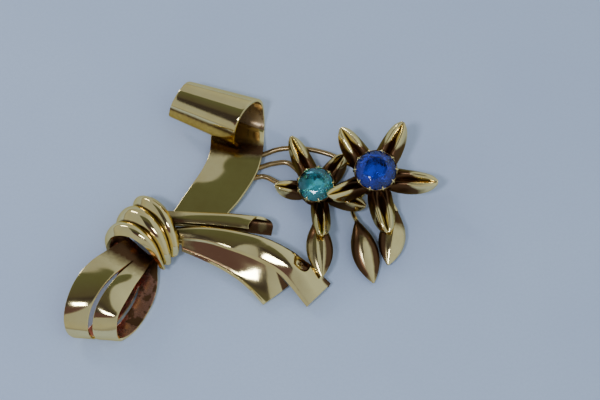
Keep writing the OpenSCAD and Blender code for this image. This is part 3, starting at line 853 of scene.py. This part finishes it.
class BROOCH_OT_stems(bpy.types.Operator):
    """Builds the three round wires from behind the scroll to the flowers."""
    bl_idname = "brooch.stems"
    bl_label = "Stems"

    def execute(self, context):
        radius = context.scene.brooch_sizes.stem / MM / 2
        for name, route in STEMS.items():
            rings = 12 * len(route)

            def place(s, turn):
                point, side, up = wire_frame(lambda t: along_curve(route, t), s)
                # The wire is closed at its first and last ring, and rounded at the next
                ring = min(s, 1 - s) * rings
                r = 0.0 if ring < 0.5 else 0.85 * radius if ring < 1.5 else radius
                return point + (side * cos(turn) + up * sin(turn)) * r

            bm = bmesh.new()
            new_rod(bm, rings, 20, place, lambda s, turn: 0.25 * fade(s, 0.8, 1), 24)
            finish_piece(to_object(bm, name + "_wire"), [name], "rose_wire", "stem_wire")
        return {"FINISHED"}


# Flowers

def flower_turn(flower):
    """Moves a point of the flower's own frame to the table frame."""
    lean = turn_about("Y", flower["lean"][1]) @ turn_about("X", flower["lean"][0])
    return lambda p: Vector(flower["middle"]) + lean @ p


def add_petal(bm, turned, heading, length, wide, rise, tilt, shade):
    """Adds one grooved petal to the flower's mesh."""
    sizes = bpy.context.scene.brooch_sizes
    width, puff = sizes.petal_width / MM, sizes.petal_puff / MM
    turn = turn_about("Z", heading) @ turn_about("Y", tilt)

    def place(u, v):
        along, half_width, middle, swell = along_curve(PETAL, u)
        w = 2 * v - 1
        lobe = 1.2 * max(0.0, sin(pi * abs(w))) ** 1.1 - 0.9 * w * w
        x = PETAL_ROOT + (length - PETAL_ROOT) * along
        y = half_width * wide * width / 2 * w
        z = middle * rise + swell * puff * lobe
        return turned(turn @ Vector((x, y, z)))

    def antique(u, v):
        w = 2 * v - 1
        crest = bump(abs(w), 0.48, 0.2)
        root = 1 - fade(u, 0.42 - 0.08 * crest, 0.62 - 0.14 * crest)
        inner = 1 - fade(u, 0.3, 0.6)
        darkening = 0.5 * bump(w, 0, 0.16) + 0.5 * bump(w, 0, 0.06 + 0.1 * inner)
        # Painted shade on the outer flanks, towards the root
        flank = 0.6 * fade(abs(w), 0.66, 0.9) * (1 - fade(u, 0.55, 0.85))
        # The petal's own shade from its table row is added as painted shade
        return min(1.0, root + darkening * (1 - 0.3 * fade(u, 0.92, 1.0)) + flank + shade)

    petal = bmesh.new()
    new_grid(petal, 40, 36, place, antique, (9, 4))
    bmesh.ops.solidify(petal, geom=petal.faces[:], thickness=sizes.petal / MM)
    bmesh.ops.recalc_face_normals(petal, faces=petal.faces[:])
    scrap = bpy.data.meshes.new("petal")
    petal.to_mesh(scrap)
    petal.free()
    bm.from_mesh(scrap)
    bpy.data.meshes.remove(scrap)


class BROOCH_OT_flowers(bpy.types.Operator):
    """Builds the two whorls of five grooved petals."""
    bl_idname = "brooch.flowers"
    bl_label = "Flowers"

    def execute(self, context):
        for colour, flower in FLOWERS.items():
            bm = bmesh.new()
            turned = flower_turn(flower)
            for row in flower["petals"]:
                add_petal(bm, turned, *row)
            petals = set(bm.verts)
            # The base reaches from below the petals up to the cup's foot
            low, base_r, web_r = -0.5, flower["base"], flower["web"]
            top = flower["girdle"] - CUP_DEPTH * stone_width(colour) - 0.08
            rounded(bm, new_disc(bm, top - low, base_r * 1.05, base_r, 48, low), 0.12)
            rounded(bm, new_disc(bm, 0.3, web_r - 0.1, web_r, 64, -0.42), 0.1)
            # The base and the web are dark all over, as painted shade between and under the petals
            dark, _ = layers(bm)
            for vert in set(bm.verts) - petals:
                vert[dark] = 0.95
                vert.co = turned(vert.co)
            piece = to_object(bm, colour + "_petals")
            add_polish(piece, EDGE)
            finish_piece(piece, [colour + "_flower"], "antiqued_gold", "petal_gold")
        return {"FINISHED"}


# Cups and claws

def spin_cup(bm, width, claws):
    """Spins the cup's wall round the stone, with a scalloped rim that rises at each claw."""
    seat, foot, depth = width / 2 + 0.06, width * 0.2, width * CUP_DEPTH
    profile = [(foot, -depth), (foot + CUP_WALL, -depth), (seat * 0.62 + CUP_WALL, -depth * 0.62),
               (seat + CUP_WALL, -0.5), (seat + CUP_WALL, -0.3), (seat + 0.17, -0.05), (seat + 0.1, 0.2),
               (seat + 0.03, 0.2), (seat, 0.1), (seat, -0.2)]
    dark, _ = layers(bm)
    ring = [bm.verts.new((r, 0, z)) for r, z in profile]
    edges = [bm.edges.new((ring[i], ring[(i + 1) % len(ring)])) for i in range(len(ring))]
    bmesh.ops.spin(bm, geom=ring + edges, axis=UP, cent=(0, 0, 0), steps=120, angle=tau, use_merge=True)
    for vert in bm.verts:
        near_claw = 0.5 + 0.5 * cos(atan2(vert.co.y, vert.co.x) * claws)
        if vert.co.z > 0.1:
            vert.co.z += 0.36 * near_claw ** 2 - 0.2
        vert[dark] = 0.95 * (1 - fade(vert.co.z, -0.05, 0.2))
    bmesh.ops.recalc_face_normals(bm, faces=bm.faces[:])
    for face in bm.faces:
        face.smooth = True


def add_claw(bm, seat, turn_round):
    """Adds one claw that bends in over the stone, thinner to its round tip."""
    outwards = Vector((cos(turn_round), sin(turn_round), 0))
    across = Vector((-sin(turn_round), cos(turn_round), 0))
    route = [outwards * (seat + out) + UP * z for out, z in CLAW]

    def path(s):
        return along_curve(route, s)

    def place(s, turn):
        out = across.cross(heading_of(path, s, 0.02))
        tip = sqrt(max(0.0, 1 - max(0.0, (s - 0.85) / 0.15) ** 2))
        r = 0.23 * (1 - 0.5 * s) * tip if s >= 0.02 else 0
        return path(s) + (across * cos(turn) * 1.1 + out * sin(turn) * 0.8) * r

    new_rod(bm, 14, 12, place, lambda s, turn: 0.95 * (1 - fade(s, 0.3, 0.6)), 10)


class BROOCH_OT_settings(bpy.types.Operator):
    """Builds the two clawed cups that hold the stones."""
    bl_idname = "brooch.settings"
    bl_label = "Settings"

    def execute(self, context):
        for colour, flower in FLOWERS.items():
            turned = flower_turn(flower)
            width, claws = stone_width(colour), flower["claws"]
            bm = bmesh.new()
            spin_cup(bm, width, claws)
            for k in range(claws):
                add_claw(bm, width / 2 + 0.06, tau * k / claws)
            for vert in bm.verts:
                vert.co = turned(vert.co + UP * flower["girdle"])
            piece = to_object(bm, colour + "_cup")
            add_polish(piece)
            finish_piece(piece, [colour + "_setting"], "gold", "petal_gold")
        return {"FINISHED"}


# Stones

class BROOCH_OT_stones(bpy.types.Operator):
    """Builds the two round brilliant-cut stones."""
    bl_idname = "brooch.stones"
    bl_label = "Stones"

    def execute(self, context):
        # Shares of the stone's diameter: radius and height of the table, the
        # corners of the stars, the girdle, the lower facets and the culet
        table_r, table_z, star_r, girdle_r, girdle_z = 0.285, 0.185, 0.35, 0.5, 0.02
        lower_r, culet_z = 0.12, -0.3
        half = pi / 8
        star_z = table_z - (table_z - girdle_z) * (star_r * cos(half) - table_r) / (girdle_r - table_r)
        lower_z = culet_z + (-girdle_z - culet_z) * lower_r * cos(half) / girdle_r
        # Rings of corners: number, radius, height and turn
        rings = [(8, table_r, table_z, 0), (8, star_r, star_z, half), (16, girdle_r, girdle_z, 0),
                 (16, girdle_r, -girdle_z, 0), (8, lower_r, lower_z, half)]
        for colour, flower in FLOWERS.items():
            d = stone_width(colour)
            turned = flower_turn(flower)
            bm = bmesh.new()
            corners = [bm.verts.new((0, 0, culet_z * d))]
            for count, r, z, start in rings:
                for k in range(count):
                    a = start + tau * k / count + radians(flower["facets"])
                    corners.append(bm.verts.new((r * d * cos(a), r * d * sin(a), z * d)))
            bmesh.ops.convex_hull(bm, input=corners)
            bmesh.ops.dissolve_limit(bm, angle_limit=radians(0.6), verts=bm.verts[:], edges=bm.edges[:])
            bmesh.ops.recalc_face_normals(bm, faces=bm.faces[:])
            for face in bm.faces:
                # The lower facets carry the foil
                face.material_index = 1 if face.normal.z < -0.1 else 0
            for vert in bm.verts:
                vert.co = turned(vert.co + UP * flower["girdle"])
            finish_piece(to_object(bm, colour + "_brilliant"), [colour + "_stone"], colour + "_glass",
                         "cut_glass_" + colour, "foil_" + colour)
        return {"FINISHED"}


# Buds

def bud_shape(wire_r, route, tip, depth, left, right):
    """The place and the darkening of a bud with its wire, with painted shade on its underside."""
    root, tip = Vector(route[-1]), Vector(tip)
    # The wire's curve runs on into the bud, so that it meets it straight
    wire = [Vector(p) for p in route] + [root + (tip - root) * 0.2]
    wire_end = (len(route) - 1) / len(route)

    def share_at(s):
        return along_curve(BUD, (s - BUD_WIRE) / (1 - BUD_WIRE))

    def spine(s):
        if s <= BUD_WIRE:
            return along_curve(wire, s / BUD_WIRE * wire_end)
        return root + (tip - root) * share_at(s).x

    def place(s, turn):
        point, side, up = wire_frame(spine, s)
        if s <= BUD_WIRE:
            w = h = 0.0 if s < 0.004 else wire_r
        else:
            share = share_at(s)
            least = wire_r * (1 - fade(s, BUD_WIRE, BUD_WIRE + 0.06))
            w = max(share.y * BUD_WIDTH / 2, least)
            h = max(share.z * BUD_HEIGHT / 2 * (1.4 if turn > 0 else 0.8), least)
            if s > 0.999:
                w = h = 0.0
        crease = 1 - depth * bump(degrees(turn) - 90, 0, 12) * fade(s, BUD_WIRE, BUD_WIRE + 0.12)
        return point + side * cos(turn) * w + up * sin(turn) * h * crease

    def antique(s, turn):
        if s < BUD_WIRE:
            return 0.15
        t, across = (s - BUD_WIRE) / (1 - BUD_WIRE), cos(turn)
        root_end = 0.95 * (1 - fade(t, 0.2, 0.5))
        # Painted shade on the bud's underside
        below = fade(-sin(turn), 0.05, 0.4)
        flank = (left if across > 0 else right) * fade(abs(across), 0.2, 0.55)
        flank *= 1 - 0.6 * fade(t, 0.75, 1.0)
        crease = 0.5 * (depth > 0) * bump(degrees(turn) - 90, 0, 6) * (1 - fade(t, 0.4, 0.9))
        return min(1.0, root_end + below + flank + crease)

    return place, antique


class BROOCH_OT_buds(bpy.types.Operator):
    """Builds the three almond-shaped buds with their wires."""
    bl_idname = "brooch.buds"
    bl_label = "Buds"

    def execute(self, context):
        wire_r = context.scene.brooch_sizes.bud_wire / MM / 2
        for name, row in BUDS.items():
            bm = bmesh.new()
            new_rod(bm, 96, 48, *bud_shape(wire_r, *row), 16)
            finish_piece(to_object(bm, name + "_almond"), [name], "antiqued_gold", "petal_gold")
        return {"FINISHED"}


# Pin

class BROOCH_OT_pin(bpy.types.Operator):
    """Builds the pin on the back with its joint and catch."""
    bl_idname = "brooch.pin"
    bl_label = "Pin back"

    def execute(self, context):
        pin_r = context.scene.brooch_sizes.pin / MM / 2
        bm = bmesh.new()
        layers(bm)
        blocks = []
        for middle, size in PIN_BLOCKS:
            block = bmesh.ops.create_cube(bm, size=1)["verts"]
            bmesh.ops.scale(bm, vec=size, verts=block)
            bmesh.ops.translate(bm, vec=middle, verts=block)
            blocks.append(block)
        for block in blocks:
            rounded(bm, block, 0.13, 3)
        # The joint's barrel, and the rivet through it and the two ears
        for radius, width, sides in ((0.68, 1.4, 28), (0.3, 2.4, 20)):
            for vert in new_disc(bm, width, radius, radius, sides, -width / 2):
                vert.co = Vector((vert.co.x, vert.co.z, vert.co.y))
        bmesh.ops.recalc_face_normals(bm, faces=bm.faces[:])

        def stem(s, turn):
            r = pin_r * (1 - 0.9 * fade(s, 0.86, 1.0)) if 0.004 <= s <= 0.996 else 0.0
            sag = -0.1 * sin(pi * s)
            return Vector((0.4 + s * (PIN_LENGTH + 0.5), cos(turn) * r, sag + sin(turn) * r))

        new_rod(bm, 60, 20, stem, lambda s, turn: 0.0, 20)
        turn = turn_about("Z", PIN_TURN)
        for vert in bm.verts:
            vert.co = PIN_START + turn @ vert.co
        finish_piece(to_object(bm, "pin_and_catch"), ["pin_back"], "antiqued_gold", "petal_gold")
        return {"FINISHED"}


# Stage

def lamp(name, place, size, glow, colour):
    """A rectangular light that faces the brooch, with the first of its sizes square to the y axis."""
    data = bpy.data.lights.new(name, "AREA")
    data.shape = "RECTANGLE"
    data.size, data.size_y = size
    data.energy = glow * pi * size[0] * size[1]
    data.color = colour
    out = place.normalized()
    side = Vector((0, 1, 0)).cross(out).normalized()
    made = bpy.data.objects.new(name, data)
    made.matrix_world = Matrix.LocRotScale(place, Matrix((side, out.cross(side), out)).transposed(), None)
    bpy.context.scene.collection.objects.link(made)


def soft_room():
    """The room's soft light by direction: pale all round, paler to the right, and darker overhead."""
    world = bpy.data.worlds.new("soft_room")
    n = Nodes(world)
    split = n.add("ShaderNodeSeparateXYZ", [("Vector", n.add("ShaderNodeTexCoord").outputs["Generated"])])
    x, y, z = (split.outputs[axis] for axis in "XYZ")
    walls = n.stops(z, (0.0, (0.33, 0.37, 0.44)), (0.05, (0.28, 0.31, 0.36)), (0.11, (0.38, 0.42, 0.46)),
                    (0.17, (0.43, 0.47, 0.48)), (0.45, (0.39, 0.44, 0.50)), (0.8, (0.37, 0.42, 0.50)))
    walls = n.mix(n.ramp(x, -0.1, 0.4), walls, (0.52, 0.61, 0.70))
    # Overhead: a leaning dark oval, purple-brown at its near end
    ceiling = n.stops(n.number("ADD", n.number("MULTIPLY", y, 0.5), 0.5),
                      (0.17, (0.11, 0.07, 0.10)), (0.27, (0.10, 0.06, 0.09)), (0.30, (0.04, 0.036, 0.05)),
                      (0.44, (0.045, 0.04, 0.05)), (0.49, (0.085, 0.085, 0.08)),
                      (0.72, (0.105, 0.127, 0.095)))
    right = n.number("ADD", n.number("ADD", x, 0.30), n.number("MULTIPLY", y, -0.35))
    left = n.number("ADD", n.number("ADD", x, 0.30), n.number("MULTIPLY", y, -0.1))
    across = n.number("MAXIMUM", n.number("DIVIDE", right, 0.33), n.number("DIVIDE", left, -0.34))
    along = n.number("ABSOLUTE", n.number("DIVIDE", n.number("ADD", y, 0.065), 0.595), 0)
    far = n.number("ADD", n.number("POWER", across, 4), n.number("POWER", along, 4))
    back = n.add("ShaderNodeBackground", [("Color", n.mix(n.ramp(far, 1.06, 0.94), walls, ceiling))])
    n.add("ShaderNodeOutputWorld", [("Surface", back.outputs["Background"])])
    return world


class BROOCH_OT_stage(bpy.types.Operator):
    """Lays the pale surface and sets the soft light and the camera."""
    bl_idname = "brooch.stage"
    bl_label = "Surface, light and camera"

    def execute(self, context):
        bm = bmesh.new()
        bmesh.ops.create_grid(bm, x_segments=8, y_segments=8, size=1.2)
        surface = to_object(bm, "pale_surface", in_table=False)
        surface.data.materials.append(finish_of("pale_cloth"))

        context.scene.world = soft_room()
        lamp("window", Vector((-0.29, -0.36, 0.887)) * 0.5, (0.08, 0.065), 36, (0.86, 0.96, 1.2))
        lamp("far_window", Vector((-0.61, 0.68, 0.44)) * 0.6, (0.18, 0.07), 12, (0.95, 1.0, 1.1))

        # The camera looks away from the near side and down at the target
        target = Vector((9.0, 2.2, 0.0))
        elevation, distance = radians(68), 264.0
        looking = Vector((0, cos(elevation), -sin(elevation)))
        data = bpy.data.cameras.new("camera")
        data.lens, data.sensor_width = 85.0, 36.0
        data.clip_start, data.clip_end = 0.01, 10
        camera = bpy.data.objects.new("camera", data)
        camera.location = seated(target - looking * distance)
        camera.rotation_euler = (pi / 2 - elevation, 0, 0)
        context.scene.collection.objects.link(camera)
        context.scene.camera = camera
        return {"FINISHED"}


# Panel

class BROOCH_PT_panel(bpy.types.Panel):
    bl_label = "Bow brooch"
    bl_idname = "BROOCH_PT_panel"
    bl_space_type = "VIEW_3D"
    bl_region_type = "UI"
    bl_category = "Brooch"

    def draw(self, context):
        column = self.layout.column(align=True)
        for group in (context.scene.brooch_sizes, context.scene.brooch_colours):
            for key in group.__annotations__:
                column.prop(group, key)
            column.separator()
        for operator in OPERATORS:
            column.operator(operator.bl_idname)


OPERATORS = [
    BROOCH_OT_stage, BROOCH_OT_scroll, BROOCH_OT_tails, BROOCH_OT_loop, BROOCH_OT_knot, BROOCH_OT_stems,
    BROOCH_OT_flowers, BROOCH_OT_settings, BROOCH_OT_stones, BROOCH_OT_buds, BROOCH_OT_pin,
]
CLASSES = [BroochSizes, BroochColours, *OPERATORS, BROOCH_PT_panel]


def register():
    for item in CLASSES:
        bpy.utils.register_class(item)
    bpy.types.Scene.brooch_sizes = bpy.props.PointerProperty(type=BroochSizes)
    bpy.types.Scene.brooch_colours = bpy.props.PointerProperty(type=BroochColours)


def unregister():
    del bpy.types.Scene.brooch_colours
    del bpy.types.Scene.brooch_sizes
    for item in reversed(CLASSES):
        bpy.utils.unregister_class(item)


def main():
    register()
    for operator in OPERATORS:
        group, name = operator.bl_idname.split(".")
        getattr(getattr(bpy.ops, group), name)()


if __name__ == "__main__":
    main()
